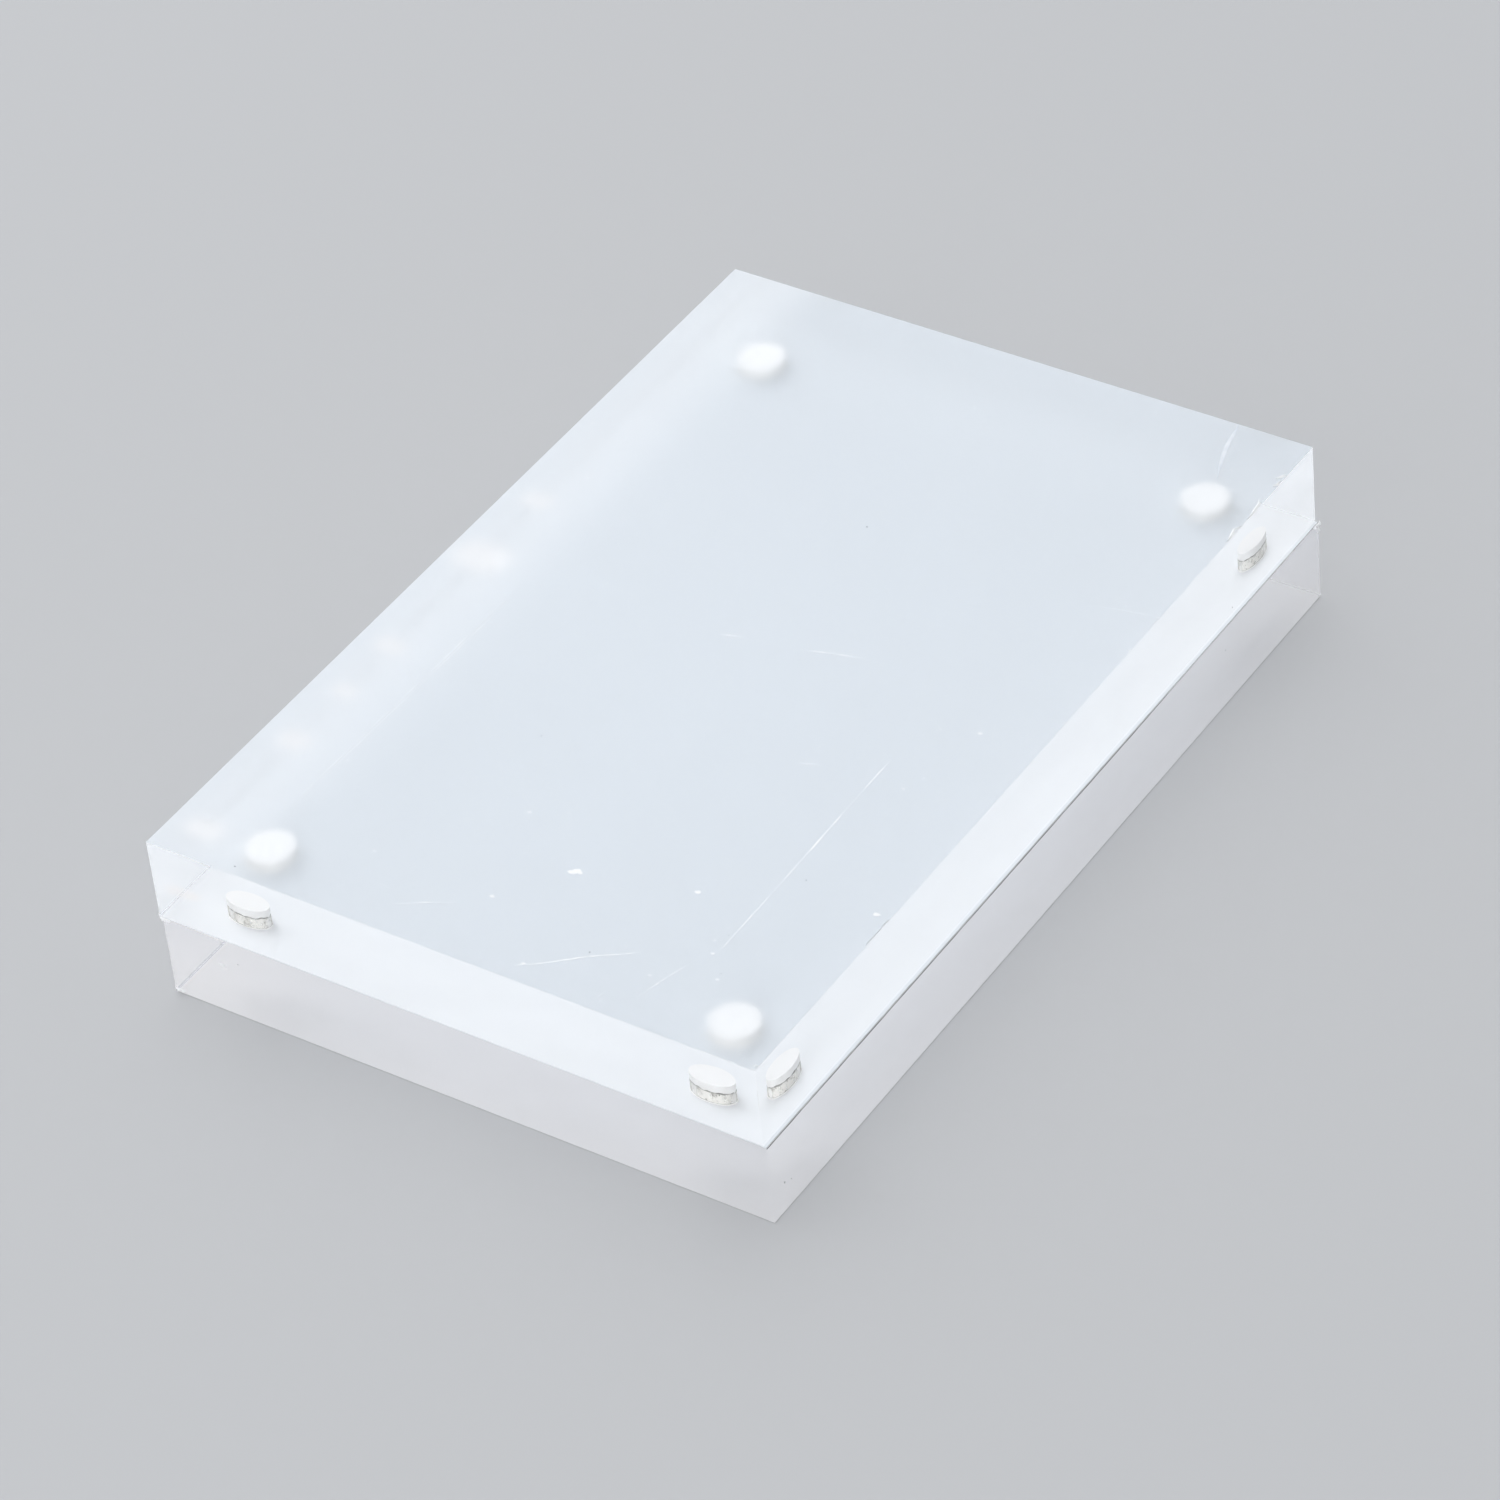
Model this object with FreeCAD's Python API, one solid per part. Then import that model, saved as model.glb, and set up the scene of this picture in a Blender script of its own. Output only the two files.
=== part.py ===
"""Magnetic block frame: a front and a back slab of thick clear acrylic, lying face to face with
the back slab down. Magnets glued into blind pockets in the two mating faces hold them together,
and a thin milky masking film still covers each large face.

+X runs along the short side, +Y along the long side and +Z from the back slab to the front one.
The origin is the middle of the footprint. "near" is the -Y end and "left" is the -X side."""

import FreeCAD, Part
import os

os.makedirs("parts", exist_ok=True)

# Slabs: cast sheet sawn to the size of the print, edges polished
WIDTH = 101.6
LENGTH = 152.4
SLAB_THICKNESS = 13.8
EDGE_BREAK = 0.15

# The front slab sits this far off the back one, towards -X
STAGGER = 0.5

# Masking film: one sheet on each large face
FILM_THICKNESS = 0.08

# Magnets: nickel-plated discs, flush with the mating face, with rolled rims
MAGNET_DIAMETER = 7.0
MAGNET_THICKNESS = 2.0
MAGNET_RIM_RADIUS = 0.2
MAGNET_INSET_X = 11.8
MAGNET_INSET_Y = 12.0

# Pockets: flat-bottomed and blind. Adhesive fills them behind the magnet and round it, up to a
# little short of the mating face
POCKET_CLEARANCE = 0.15
GLUE_THICKNESS = 1.4
GLUE_SETBACK = 0.15
MOUTH_BEVEL = 0.15
CUT_OVERRUN = 1.0

# Heights of the two slabs above the surface that the frame lies on
BACK_SLAB_BOTTOM = FILM_THICKNESS
MATING_PLANE = BACK_SLAB_BOTTOM + SLAB_THICKNESS + FILM_THICKNESS
FRONT_SLAB_BOTTOM = MATING_PLANE + FILM_THICKNESS
BACK_SHIFT = STAGGER / 2
FRONT_SHIFT = -STAGGER / 2

POCKET_RADIUS = MAGNET_DIAMETER / 2 + POCKET_CLEARANCE
MOUTH_RADIUS = POCKET_RADIUS + MOUTH_BEVEL
POCKET_DEPTH = MAGNET_THICKNESS + GLUE_THICKNESS

# Magnet centres, shared by both slabs, so that the pairs face each other
MAGNET_X = WIDTH / 2 - MAGNET_INSET_X
MAGNET_Y = LENGTH / 2 - MAGNET_INSET_Y
CORNERS = {
    "near_left": (-MAGNET_X, -MAGNET_Y),
    "near_right": (MAGNET_X, -MAGNET_Y),
    "far_right": (MAGNET_X, MAGNET_Y),
    "far_left": (-MAGNET_X, MAGNET_Y),
}

UP = FreeCAD.Vector(0, 0, 1)
DOWN = FreeCAD.Vector(0, 0, -1)


def plate(shift, bottom, thickness, margin):
    """A rectangular sheet, margin inside the slab's outline on all sides."""
    corner = FreeCAD.Vector(shift - WIDTH / 2 + margin, margin - LENGTH / 2, bottom)
    return Part.makeBox(WIDTH - 2 * margin, LENGTH - 2 * margin, thickness, corner)


def pocket(x, y, face, inward):
    """The blind pocket drilled from the mating face at height face, with its bevelled mouth."""
    start = FreeCAD.Vector(x, y, face) - inward * CUT_OVERRUN
    bore = Part.makeCylinder(POCKET_RADIUS, CUT_OVERRUN + POCKET_DEPTH, start, inward)
    mouth = Part.makeCone(MOUTH_RADIUS, POCKET_RADIUS, MOUTH_BEVEL, FreeCAD.Vector(x, y, face), inward)
    return bore.fuse(mouth)


def slab(shift, bottom, face, inward):
    """A clear slab with broken edges and a magnet pocket near each corner of its mating face."""
    body = plate(shift, bottom, SLAB_THICKNESS, 0)
    body = body.makeChamfer(EDGE_BREAK, body.Edges)
    for x, y in CORNERS.values():
        body = body.cut(pocket(x, y, face, inward))
    return body


def outer_film(shift, bottom):
    """The masking film on a slab's outer face, up to its broken edge."""
    return plate(shift, bottom, FILM_THICKNESS, EDGE_BREAK)


def inner_film(shift, bottom):
    """The masking film on a slab's mating face, drilled through at the pockets."""
    film = plate(shift, bottom, FILM_THICKNESS, EDGE_BREAK)
    for x, y in CORNERS.values():
        below = FreeCAD.Vector(x, y, bottom - CUT_OVERRUN)
        film = film.cut(Part.makeCylinder(MOUTH_RADIUS, FILM_THICKNESS + 2 * CUT_OVERRUN, below, UP))
    return film


def magnet(x, y, face, inward):
    """A disc magnet in its pocket, flush with the mating face."""
    disc = Part.makeCylinder(
        MAGNET_DIAMETER / 2, MAGNET_THICKNESS, FreeCAD.Vector(x, y, face), inward
    )
    rims = [edge for edge in disc.Edges if edge.Closed]
    return disc.makeFillet(MAGNET_RIM_RADIUS, rims)


def glue(x, y, face, inward):
    """The cured adhesive, a cup that fills the pocket behind the magnet and round its side."""
    start = FreeCAD.Vector(x, y, face) + inward * GLUE_SETBACK
    fill = Part.makeCylinder(POCKET_RADIUS, POCKET_DEPTH - GLUE_SETBACK, start, inward)
    return fill.cut(magnet(x, y, face, inward))


def half_of_frame(name, shift, bottom, face, inward):
    """One slab with the magnet and the adhesive in each of its pockets."""
    pieces = {f"{name}_block": slab(shift, bottom, face, inward)}
    for corner, (x, y) in CORNERS.items():
        pieces[f"{name}_magnet_{corner}"] = magnet(x, y, face, inward)
        pieces[f"{name}_glue_{corner}"] = glue(x, y, face, inward)
    return pieces


parts = {}
parts.update(half_of_frame("front", FRONT_SHIFT, FRONT_SLAB_BOTTOM, FRONT_SLAB_BOTTOM, UP))
parts.update(
    half_of_frame("back", BACK_SHIFT, BACK_SLAB_BOTTOM, BACK_SLAB_BOTTOM + SLAB_THICKNESS, DOWN)
)
parts["front_outer_film"] = outer_film(FRONT_SHIFT, FRONT_SLAB_BOTTOM + SLAB_THICKNESS)
parts["front_inner_film"] = inner_film(FRONT_SHIFT, MATING_PLANE)
parts["back_inner_film"] = inner_film(BACK_SHIFT, BACK_SLAB_BOTTOM + SLAB_THICKNESS)
parts["back_outer_film"] = outer_film(BACK_SHIFT, 0)

for node, shape in parts.items():
    shape.exportStep(f"parts/{node}.step")
    box = shape.BoundBox
    print(f"{node}: {shape.Volume:.1f} mm3, {box.XLength:.2f} x {box.YLength:.2f} x {box.ZLength:.2f} mm")
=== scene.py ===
import random
from math import cos, pi, radians, sin

import bmesh
import bpy
from mathutils import Matrix, Vector, noise


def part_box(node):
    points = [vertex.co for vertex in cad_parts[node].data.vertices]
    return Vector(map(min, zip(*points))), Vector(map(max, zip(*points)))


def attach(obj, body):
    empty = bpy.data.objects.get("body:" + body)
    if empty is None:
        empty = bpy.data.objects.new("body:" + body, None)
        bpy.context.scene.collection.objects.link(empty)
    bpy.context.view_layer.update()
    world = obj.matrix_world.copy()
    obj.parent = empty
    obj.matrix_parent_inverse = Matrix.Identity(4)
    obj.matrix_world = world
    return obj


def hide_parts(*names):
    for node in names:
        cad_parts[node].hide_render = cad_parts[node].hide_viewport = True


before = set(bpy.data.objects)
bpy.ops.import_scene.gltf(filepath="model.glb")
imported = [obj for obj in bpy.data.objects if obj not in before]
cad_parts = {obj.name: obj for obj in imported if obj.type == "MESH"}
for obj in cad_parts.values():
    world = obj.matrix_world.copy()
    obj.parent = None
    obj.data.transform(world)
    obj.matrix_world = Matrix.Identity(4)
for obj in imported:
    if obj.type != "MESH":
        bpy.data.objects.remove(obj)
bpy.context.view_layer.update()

# Camera. A long lens looks down across the near right corner of the block, tipped a little
# clockwise.
camera_azimuth = radians(36.69)
camera_elevation = radians(39.58)
camera_roll = radians(-6.15)
camera_offset = Vector((-0.0019, 0.0056, 0.9414))
camera_target = Vector((0.00025, 0, 0))
lens_length = 154.5
sensor_width = 36.0
camera_reach = 20.0

turned = Matrix.Rotation(camera_azimuth, 3, "Z") @ Matrix.Rotation(pi / 2 - camera_elevation, 3, "X")
turned = turned @ Matrix.Rotation(camera_roll, 3, "Z")
camera_data = bpy.data.cameras.new("camera")
camera_data.lens = lens_length
camera_data.sensor_width = sensor_width
camera_data.clip_end = camera_reach
camera = bpy.data.objects.new("camera", camera_data)
camera.matrix_world = Matrix.Translation(turned @ camera_offset + camera_target) @ turned.to_4x4()
scene = bpy.context.scene
scene.collection.objects.link(camera)
scene.camera = camera
scene.view_settings.view_transform = "Standard"


# Studio. A pale matt floor, a pale sky that is brighter behind the block on its left, a large soft
# lamp on that side and a weak one low in front.
floor_size = 8.0
floor_drop = 0.00005
floor_colour = (0.54, 0.545, 0.555, 1)
floor_roughness = 0.9
sky_colour = (0.94, 0.965, 1.0, 1)
sky_bright_side = (-0.9, 0.43, 0.0)
sky_strengths = (0.5, 0.79)
lamps = {
    "softbox": (1.5, 7.8, Vector((-0.55, 0.35, 1.0))),
    "front_fill": (1.0, 3.6, Vector((0.3, -0.88, 0.35))),
}


def new_material(name):
    """An empty node material, its node tree and its output's surface socket."""
    material = bpy.data.materials.new(name)
    material.use_nodes = True
    material.node_tree.nodes.clear()
    output = material.node_tree.nodes.new("ShaderNodeOutputMaterial")
    return material, material.node_tree, output.inputs["Surface"]


def add_node(tree, kind, links=None, **settings):
    """A node of that kind. Its properties and sockets are set by name, and links gives what feeds
    its sockets, by their names or numbers."""
    node = tree.nodes.new(kind)
    for name, value in settings.items():
        socket = node.inputs.get(name.replace("_", " "))
        if socket is None:
            setattr(node, name, value)
        else:
            socket.default_value = value
    for name, source in (links or {}).items():
        tree.links.new(source, node.inputs[name])
    return node


def mapped(tree, source, given, wanted, smooth=False):
    """That number, brought from the given span to the wanted one."""
    kind = "SMOOTHSTEP" if smooth else "LINEAR"
    span = add_node(tree, "ShaderNodeMapRange", {"Value": source}, interpolation_type=kind)
    for name, value in zip(("From Min", "From Max", "To Min", "To Max"), (*given, *wanted)):
        span.inputs[name].default_value = value
    return span.outputs["Result"]


floor_paint, tree, surface = new_material("pale_floor")
paint = add_node(tree, "ShaderNodeBsdfPrincipled", Base_Color=floor_colour, Roughness=floor_roughness)
tree.links.new(paint.outputs["BSDF"], surface)
half = floor_size / 2
floor_corners = [(-half, -half, 0), (half, -half, 0), (half, half, 0), (-half, half, 0)]
floor_mesh = bpy.data.meshes.new("floor")
floor_mesh.from_pydata(floor_corners, [], [(0, 1, 2, 3)])
floor_mesh.materials.append(floor_paint)
floor = bpy.data.objects.new("floor", floor_mesh)
floor.location.z = -floor_drop
scene.collection.objects.link(floor)

sky = bpy.data.worlds.new("sky")
sky.use_nodes = True
tree = sky.node_tree
way_out = add_node(tree, "ShaderNodeTexCoord").outputs["Generated"]
towards = add_node(tree, "ShaderNodeVectorMath", {0: way_out}, operation="DOT_PRODUCT")
towards.inputs[1].default_value = sky_bright_side
strength = mapped(tree, towards.outputs["Value"], (-1, 1), sky_strengths, smooth=True)
glow = tree.nodes["Background"]
glow.inputs["Color"].default_value = sky_colour
tree.links.new(strength, glow.inputs["Strength"])
scene.world = sky

for name, (size, power, place) in lamps.items():
    lamp_data = bpy.data.lights.new(name, "AREA")
    lamp_data.shape = "SQUARE"
    lamp_data.size = size
    lamp_data.energy = power
    lamp = bpy.data.objects.new(name, lamp_data)
    lamp.location = place
    lamp.rotation_euler = (-place).to_track_quat("-Z", "Y").to_euler()
    scene.collection.objects.link(lamp)


# Slabs. Each is a block of cast acrylic, sawn to the size of the print, with polished edges that
# are lightly rounded. Four blind pockets are drilled from the face that meets the other slab.
mm = 0.001
edge_round = 0.035 * mm
round_steps = 3
mouth_bevel = 0.15 * mm
cutter_reach = 0.5 * mm
wetting = 0.05 * mm
turn_steps = 96
ripple_scale = 4
ripple_step = 9
acrylic_ior = 1.49
acrylic_pass = 1.0
mark_depth = 0.01 * mm
halves = {"front": ("front_half", 1), "back": ("back_half", -1)}
corners = ("near_left", "near_right", "far_right", "far_left")

scene.cycles.max_bounces = 24
scene.cycles.transmission_bounces = 24
scene.cycles.diffuse_bounces = 8
scene.cycles.glossy_bounces = 8
scene.cycles.transparent_max_bounces = 32


def new_piece(name, bm, body, *materials):
    """A finished mesh object, riding on that body where one is given."""
    mesh = bpy.data.meshes.new(name)
    bmesh.ops.recalc_face_normals(bm, faces=bm.faces)
    bm.to_mesh(mesh)
    bm.free()
    for material in materials:
        mesh.materials.append(material)
    piece = bpy.data.objects.new(name, mesh)
    scene.collection.objects.link(piece)
    if body:
        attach(piece, body)
    return piece


def keep_modified(piece):
    """The piece with its modifiers made part of its mesh."""
    made = piece.evaluated_get(bpy.context.evaluated_depsgraph_get())
    mesh = bpy.data.meshes.new_from_object(made)
    piece.modifiers.clear()
    piece.data = mesh


def turn_profile(bm, profile, centre, way):
    """Turns (radius, depth) points about the upright line through centre. Depth is upward where
    way is 1 and downward where it is -1, and a radius of 0 closes an end. A third number lets
    the ring's depth waver by that much."""
    rings = []
    for radius, depth, *waver in profile:
        ring = []
        for i in range(turn_steps if radius else 1):
            angle = 2 * pi * i / turn_steps
            round_it = Vector((cos(angle), sin(angle), 0))
            spot = round_it * ripple_scale + centre / mm + Vector((0, 0, ripple_step * len(rings)))
            ripple = sum(waver) * noise.noise(spot)
            climb = Vector((0, 0, way * (depth + ripple)))
            ring.append(bm.verts.new(centre + radius * round_it + climb))
        rings.append(ring)
    for ring, following in zip(rings, rings[1:]):
        for i in range(turn_steps):
            face_points = [ring[i % len(ring)], ring[(i + 1) % len(ring)]]
            face_points += [following[(i + 1) % len(following)], following[i % len(following)]]
            bm.faces.new(dict.fromkeys(face_points))


def for_lamps(tree, shader, share):
    """The shader as it is seen, but letting that share of a lamp's light straight through."""
    path = add_node(tree, "ShaderNodeLightPath")
    clear = add_node(tree, "ShaderNodeBsdfTransparent", Color=(share, share, share, 1))
    mixed = add_node(
        tree, "ShaderNodeMixShader",
        {0: path.outputs["Is Shadow Ray"], 1: shader, 2: clear.outputs["BSDF"]},
    )
    return mixed.outputs["Shader"]


def bumped(tree, pattern, strength, depth):
    """The surface's normal, roughened by that pattern."""
    relief = add_node(tree, "ShaderNodeBump", {"Height": pattern}, Strength=strength, Distance=depth)
    return relief.outputs["Normal"]


def acrylic(name, roughness, mark_scale, mark_strength):
    """Clear acrylic with faint marks on its face, stretched by mark_scale."""
    material, tree, surface = new_material(name)
    place = add_node(tree, "ShaderNodeTexCoord").outputs["Object"]
    stretch = add_node(tree, "ShaderNodeMapping", {"Vector": place}, Scale=mark_scale)
    marks = add_node(
        tree, "ShaderNodeTexNoise", {"Vector": stretch.outputs["Vector"]},
        Scale=1.0, Detail=3.0, Roughness=0.6,
    )
    glass = add_node(
        tree, "ShaderNodeBsdfPrincipled",
        {"Normal": bumped(tree, marks.outputs["Fac"], mark_strength, mark_depth)},
        Base_Color=(1, 1, 1, 1), Roughness=roughness, IOR=acrylic_ior, Transmission_Weight=1.0,
    )
    tree.links.new(for_lamps(tree, glass.outputs["BSDF"], acrylic_pass), surface)
    return material


cast_face = acrylic("acrylic_cast_face", 0.0, (60, 60, 60), 0.02)
polished_edge = acrylic("acrylic_polished_edge", 0.0, (25, 25, 2500), 0.015)
filmed_face = acrylic("acrylic_filmed_face", 0.3, (400, 400, 400), 0.05)

pockets = {}
for side, (body, way) in halves.items():
    low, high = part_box(f"{side}_block")
    mating_height = low.z if way > 0 else high.z
    outer_height = high.z if way > 0 else low.z
    bm = bmesh.new()
    bmesh.ops.create_cube(bm, size=1)
    for vert in bm.verts:
        vert.co = Vector([(low if vert.co[i] < 0 else high)[i] for i in range(3)])
    bmesh.ops.bevel(
        bm, geom=bm.edges[:], offset=edge_round, segments=round_steps, profile=0.5, affect="EDGES"
    )
    slab = new_piece(f"{side}_slab", bm, None, cast_face, polished_edge, filmed_face)

    bm = bmesh.new()
    for corner in corners:
        glue_low, glue_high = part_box(f"{side}_glue_{corner}")
        magnet_low, magnet_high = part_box(f"{side}_magnet_{corner}")
        middle = (magnet_low + magnet_high) / 2
        mouth = Vector((middle.x, middle.y, mating_height))
        pocket_radius = (glue_high.x - glue_low.x) / 2
        magnet_radius = (magnet_high.x - magnet_low.x) / 2
        magnet_depth = magnet_high.z - magnet_low.z
        setback = min(abs(glue_low.z - mating_height), abs(glue_high.z - mating_height))
        pocket_depth = setback + glue_high.z - glue_low.z
        pockets[side, corner] = (mouth, pocket_radius, magnet_radius, magnet_depth, pocket_depth)
        wide = pocket_radius + mouth_bevel
        narrow = magnet_radius - wetting
        deepest = pocket_depth - wetting
        cutter = [(0, -cutter_reach), (wide, -cutter_reach), (wide, 0)]
        cutter += [(pocket_radius - wetting, mouth_bevel), (narrow, setback + wetting)]
        cutter += [(narrow, deepest), (0, deepest)]
        turn_profile(bm, cutter, mouth, way)
    drill = new_piece("drill", bm, None)
    cut = slab.modifiers.new("pockets", "BOOLEAN")
    cut.object = drill
    cut.solver = "EXACT"
    keep_modified(slab)
    bpy.data.objects.remove(drill)
    for face in slab.data.polygons:
        from_mating = abs(face.center.z - mating_height)
        from_outside = abs(face.center.z - outer_height)
        upright = abs(face.normal.z) < 0.9 and edge_round / 4 < min(from_mating, from_outside)
        from_edge = min(abs(face.center[i] - edge[i]) for i in (0, 1) for edge in (low, high))
        if from_outside < edge_round / 4:
            face.material_index = 2
        elif upright and from_edge < edge_round:
            face.material_index = 1
        else:
            face.material_index = 0
    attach(slab, body)
    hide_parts(f"{side}_block")


# Magnets. Nickel-plated discs with rolled rims, pushed into the pockets until they lie flush with
# the slab's face. The plating is a little uneven and scuffed by handling.
nickel_dark = (0.6, 0.585, 0.545)
nickel_light = (0.97, 0.965, 0.95)
nickel_cloud_scale = 560.0
nickel_scuff_scale = 4200.0
nickel_roughness = (0.1, 0.3)
nickel_relief = (0.25, 0.01 * mm)


def clouded(tree, scale, detail, roughness=0.5):
    """A cloud pattern of that scale, fixed to the piece."""
    place = add_node(tree, "ShaderNodeTexCoord").outputs["Object"]
    clouds = add_node(
        tree, "ShaderNodeTexNoise", {"Vector": place}, Scale=scale, Detail=detail, Roughness=roughness
    )
    return clouds.outputs["Fac"]


def shaded(tree, source, *stops):
    """A ramp of colours over that number. Each stop is a position and its colour."""
    ramp = add_node(tree, "ShaderNodeValToRGB", {"Fac": source})
    elements = ramp.color_ramp.elements
    for i, (position, colour) in enumerate(stops):
        stop = elements[i] if i < 2 else elements.new(position)
        stop.position = position
        stop.color = (*colour, 1)
    return ramp.outputs["Color"]


nickel, tree, surface = new_material("nickel_plating")
scuffs = clouded(tree, nickel_scuff_scale, 2.0)
tone = shaded(tree, clouded(tree, nickel_cloud_scale, 4.0), (0.35, nickel_dark), (0.65, nickel_light))
plating = add_node(
    tree, "ShaderNodeBsdfPrincipled",
    {
        "Base Color": tone,
        "Roughness": mapped(tree, scuffs, (0, 1), nickel_roughness),
        "Normal": bumped(tree, scuffs, *nickel_relief),
    },
    Metallic=1.0,
)
tree.links.new(plating.outputs["BSDF"], surface)
for side in halves:
    for corner in corners:
        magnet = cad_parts[f"{side}_magnet_{corner}"]
        magnet.data.materials.clear()
        magnet.data.materials.append(nickel)


# Adhesive. White two-part glue, put in each pocket before its magnet, which pressed some of it up
# round its side. There it is thin, half clear and full of bubbles, and an air line is left at the
# magnet's inner rim. The air line's dark colour is painted shade, the dark bubbles are painted
# reflection, the glue's wall is a slightly shaded copy of the glue, and the thin glue has a painted
# sheen and, in part, a painted shade towards its rim.
glue_white = (0.985, 0.98, 0.975, 1)
glue_grain = (0.3, 0.02 * mm)
glue_sheen_white = (0.95, 0.945, 0.93, 1)
stain_dark = (0.42, 0.405, 0.37)
stain_light = (0.88, 0.87, 0.83)
depth_middle = (0.985, 0.98, 0.96)
glue_rim_shade = (0.8, 0.785, 0.75)
no_cover = (0, 0, 0)
froth_cover = (0.6, 0.6, 0.6)
glue_sheen_cover = (0.7, 0.7, 0.7)
glue_uneven = 0.02 * mm
glue_uneven_scale = 700
cap_rings = (0, 0.5, 0.93, 1)
sleeve_gap = 0.02 * mm
sleeve_steps = 6
air_line = 0.13 * mm
air_line_waver = 0.28 * mm
flare = 0.02 * mm
bubble_sizes = ((0.03, 0.03, 0.03), (0.17, 0.17, 0.03))
bubble_density = 1.0e6
bubble_seed = 5
painted_reflection_pit_density = 0.4e6
painted_reflection_pit_seed = 15
fleck_sizes = ((0.06, 0.06, 0.03), (0.22, 0.11, 0.03))
fleck_density = 0.9e6
fleck_seed = 25
fleck_spread = 0.55 * mm
glue_seed = 1


def blended(tree, share, first, second):
    """The first colour going over into the second by that share. The first may be a socket."""
    blend = add_node(tree, "ShaderNodeMix", {"Factor": share}, data_type="RGBA")
    if isinstance(first, bpy.types.NodeSocket):
        tree.links.new(first, blend.inputs["A"])
    else:
        blend.inputs["A"].default_value = first
    blend.inputs["B"].default_value = second
    return blend.outputs["Result"]


adhesive, tree, surface = new_material("cured_adhesive")
grain = bumped(tree, clouded(tree, 1500.0, 3.0), *glue_grain)
paste = add_node(
    tree, "ShaderNodeBsdfPrincipled", {"Normal": grain}, Base_Color=glue_white, Roughness=0.55
)
tree.links.new(paste.outputs["BSDF"], surface)

thin_adhesive, tree, surface = new_material("thin_adhesive")
facing = add_node(tree, "ShaderNodeLayerWeight", Blend=0.5).outputs["Facing"]
froth = clouded(tree, 700.0, 5.0, 0.6)
stain = clouded(tree, 560.0, 5.0)
cover = shaded(tree, froth, (0.47, no_cover), (0.7, froth_cover))
# Painted sheen, in part real: where the thin glue is seen at a slant it turns whiter and covers more.
glue_sheen = shaded(
    tree, facing, (0.3, no_cover), (0.45, glue_sheen_cover), (0.65, glue_sheen_cover), (0.8, no_cover)
)
tone = shaded(tree, stain, (0.42, stain_dark), (0.56, stain_light))
# Darker towards its rim as seen: in part the longer path through the glue, in part painted shade towards
# the silhouettes.
depth = shaded(tree, facing, (0.55, depth_middle), (0.9, glue_rim_shade))
thicker = add_node(tree, "ShaderNodeMath", {0: cover, 1: glue_sheen}, operation="MAXIMUM")
paste = add_node(
    tree, "ShaderNodeBsdfPrincipled",
    {"Base Color": blended(tree, glue_sheen, tone, glue_sheen_white)}, Roughness=0.35,
)
clear = add_node(tree, "ShaderNodeBsdfTransparent", {"Color": depth})
mixed = add_node(
    tree, "ShaderNodeMixShader",
    {0: thicker.outputs["Value"], 1: clear.outputs["BSDF"], 2: paste.outputs["BSDF"]},
)
tree.links.new(mixed.outputs["Shader"], surface)


def speckled(name, dark, light, scale, roughness, metallic=0.0):
    """A small thing's finish, clouded from a dark to a light tone."""
    material, tree, surface = new_material(name)
    tone = shaded(tree, clouded(tree, scale, 3.0), (0.35, dark), (0.65, light))
    finish = add_node(
        tree, "ShaderNodeBsdfPrincipled", {"Base Color": tone}, Roughness=roughness, Metallic=metallic
    )
    tree.links.new(finish.outputs["BSDF"], surface)
    return material


def speck_tree():
    """A node tree that strews small flattened grains over the faces of a mesh."""
    group = bpy.data.node_groups.new("strewn_specks", "GeometryNodeTree")
    sockets = {}
    for name, kind in (
        ("Geometry", "NodeSocketGeometry"),
        ("Density", "NodeSocketFloat"),
        ("Smallest", "NodeSocketVector"),
        ("Largest", "NodeSocketVector"),
        ("Seed", "NodeSocketInt"),
        ("Material", "NodeSocketMaterial"),
    ):
        socket = group.interface.new_socket(name=name, in_out="INPUT", socket_type=kind)
        sockets[name] = socket.identifier
    group.interface.new_socket(name="Geometry", in_out="OUTPUT", socket_type="NodeSocketGeometry")
    given = group.nodes.new("NodeGroupInput").outputs
    grain = add_node(group, "GeometryNodeMeshIcoSphere", Radius=1.0, Subdivisions=1)
    points = add_node(
        group, "GeometryNodeDistributePointsOnFaces",
        {"Mesh": given["Geometry"], "Density": given["Density"], "Seed": given["Seed"]},
    )
    size = add_node(
        group, "FunctionNodeRandomValue",
        {"Min": given["Smallest"], "Max": given["Largest"], "Seed": given["Seed"]},
        data_type="FLOAT_VECTOR",
    )
    twist = add_node(group, "FunctionNodeRandomValue", {"Seed": given["Seed"]}, data_type="FLOAT")
    twist.inputs["Max"].default_value = 2 * pi
    turn = add_node(group, "ShaderNodeCombineXYZ", {"Z": twist.outputs["Value"]})
    spin = add_node(group, "FunctionNodeEulerToRotation", {"Euler": turn.outputs["Vector"]})
    lie = add_node(
        group, "FunctionNodeRotateRotation",
        {"Rotation": points.outputs["Rotation"], "Rotate By": spin.outputs["Rotation"]},
        rotation_space="LOCAL",
    )
    strewn = add_node(
        group, "GeometryNodeInstanceOnPoints",
        {
            "Points": points.outputs["Points"],
            "Instance": grain.outputs["Mesh"],
            "Rotation": lie.outputs["Rotation"],
            "Scale": size.outputs["Value"],
        },
    )
    real = add_node(group, "GeometryNodeRealizeInstances", {"Geometry": strewn.outputs["Instances"]})
    coated = add_node(
        group, "GeometryNodeSetMaterial",
        {"Geometry": real.outputs["Geometry"], "Material": given["Material"]},
    )
    made = group.nodes.new("NodeGroupOutput")
    group.links.new(coated.outputs["Geometry"], made.inputs["Geometry"])
    return group, sockets


specks, speck_inputs = speck_tree()


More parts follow.
